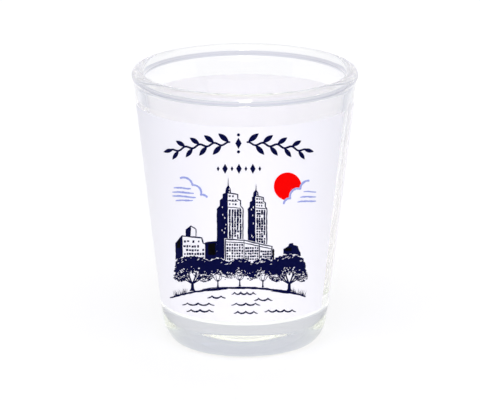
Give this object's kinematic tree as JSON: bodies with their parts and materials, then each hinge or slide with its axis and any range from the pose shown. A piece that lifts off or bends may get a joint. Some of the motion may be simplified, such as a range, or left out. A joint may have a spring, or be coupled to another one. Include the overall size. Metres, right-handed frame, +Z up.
{
  "type": "shot glass",
  "caption": "Small tapered shot glass with a thick base and a round rim bead, printed with a white wrap and a city skyline, park and lake in navy, blue, black and red.",
  "frame": {"origin": "centre of the plane that the foot ring stands on", "axes": "+Z up along the glass's axis, from the foot to the mouth; the middle of the printed picture faces -Y, and +X is to its right"},
  "size_m": [0.0482, 0.0482, 0.06],
  "materials": {
    "clear_glass": "fire-polished, clear, smooth",
    "white_ink": "fired-on white enamel ink, glossy, slightly uneven",
    "navy_ink": "fired-on navy ink, satin gloss",
    "black_ink": "fired-on black ink, satin gloss",
    "light_blue_ink": "fired-on light blue ink, satin gloss",
    "red_ink": "fired-on red ink, satin gloss"
  },
  "bodies": {
    "root": {"glass_tumbler": "clear_glass", "white_print_ground": "white_ink", "sprig_print": "navy_ink", "divider_print": "navy_ink", "red_sun_print": "red_ink", "left_cloud_print": "light_blue_ink", "right_cloud_print": "light_blue_ink", "left_tower_print": "navy_ink", "right_tower_print": "navy_ink", "podium_print": "navy_ink", "left_block_print": "navy_ink", "right_block_print": "navy_ink", "black_shadow_print": "black_ink", "tree_canopy_print": "navy_ink", "tree_trunk_print": "navy_ink", "shoreline_print": "navy_ink", "lake_ripple_print": "navy_ink"}
  },
  "joints": []
}
